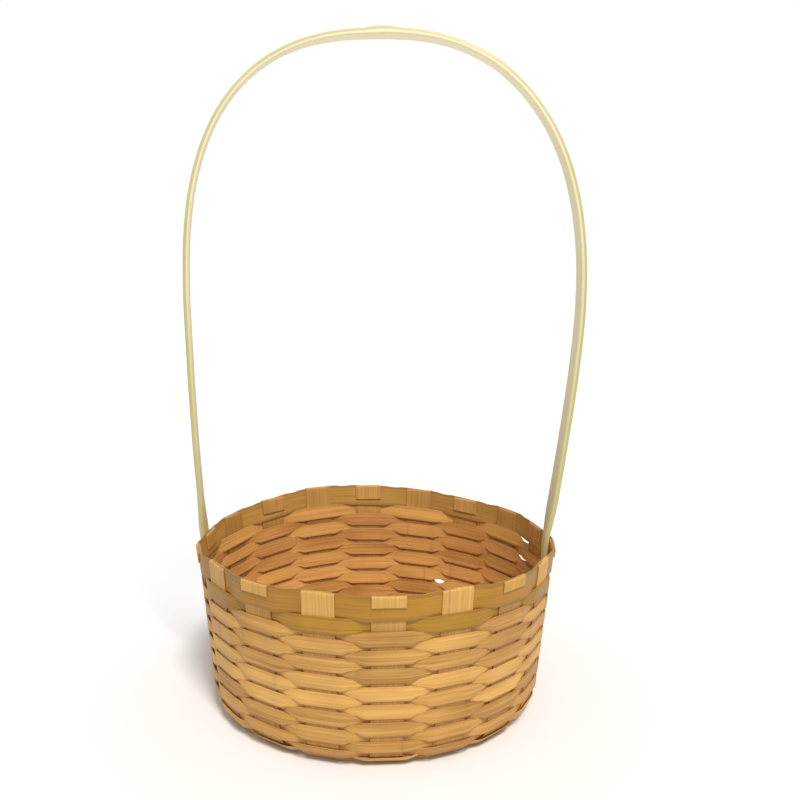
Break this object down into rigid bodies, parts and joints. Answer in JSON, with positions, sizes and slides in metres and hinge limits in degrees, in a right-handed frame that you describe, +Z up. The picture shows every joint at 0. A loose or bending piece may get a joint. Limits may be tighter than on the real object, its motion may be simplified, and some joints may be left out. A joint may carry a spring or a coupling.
{
  "type": "round splint basket with hoop handle",
  "caption": "Round open basket plaited from flat splints, with banded rim, folded stake ends and a tall fixed hoop handle tucked into the weave.",
  "frame": {"origin": "centre of the basket on the surface that it stands on", "axes": "+Z up along the basket's axis, X in the plane of the handle, with the leg that is tucked inside the wall at +X; the pictured front faces -Y"},
  "size_m": [0.245, 0.2236, 0.4052],
  "materials": {
    "stake": "flat straw-coloured splint, fine lengthwise grain, low sheen",
    "weaver": "golden tan splint, fine lengthwise grain, low sheen",
    "band": "olive-gold splint with the outer skin left on, slight sheen",
    "handle": "pale cream cane, smooth, slight sheen, one node at the top"
  },
  "bodies": {
    "root": {"long_strip_1": "stake", "long_strip_2": "stake", "long_strip_3": "stake", "long_strip_4": "stake", "long_strip_5": "stake", "cross_strip_1": "stake", "cross_strip_2": "stake", "cross_strip_3": "stake", "cross_strip_4": "stake", "weaver_row_01": "weaver", "weaver_row_02": "weaver", "weaver_row_03": "weaver", "weaver_row_04": "weaver", "weaver_row_05": "weaver", "weaver_row_06": "weaver", "weaver_row_07": "weaver", "weaver_row_08": "weaver", "weaver_row_09": "weaver", "weaver_row_10": "weaver", "weaver_row_11": "weaver", "weaver_row_12": "weaver", "weaver_row_13": "weaver", "weaver_row_14": "weaver", "weaver_row_15": "weaver", "weaver_row_16": "weaver", "lower_band": "band", "rim_band": "band", "hoop_handle": "handle"}
  },
  "joints": []
}
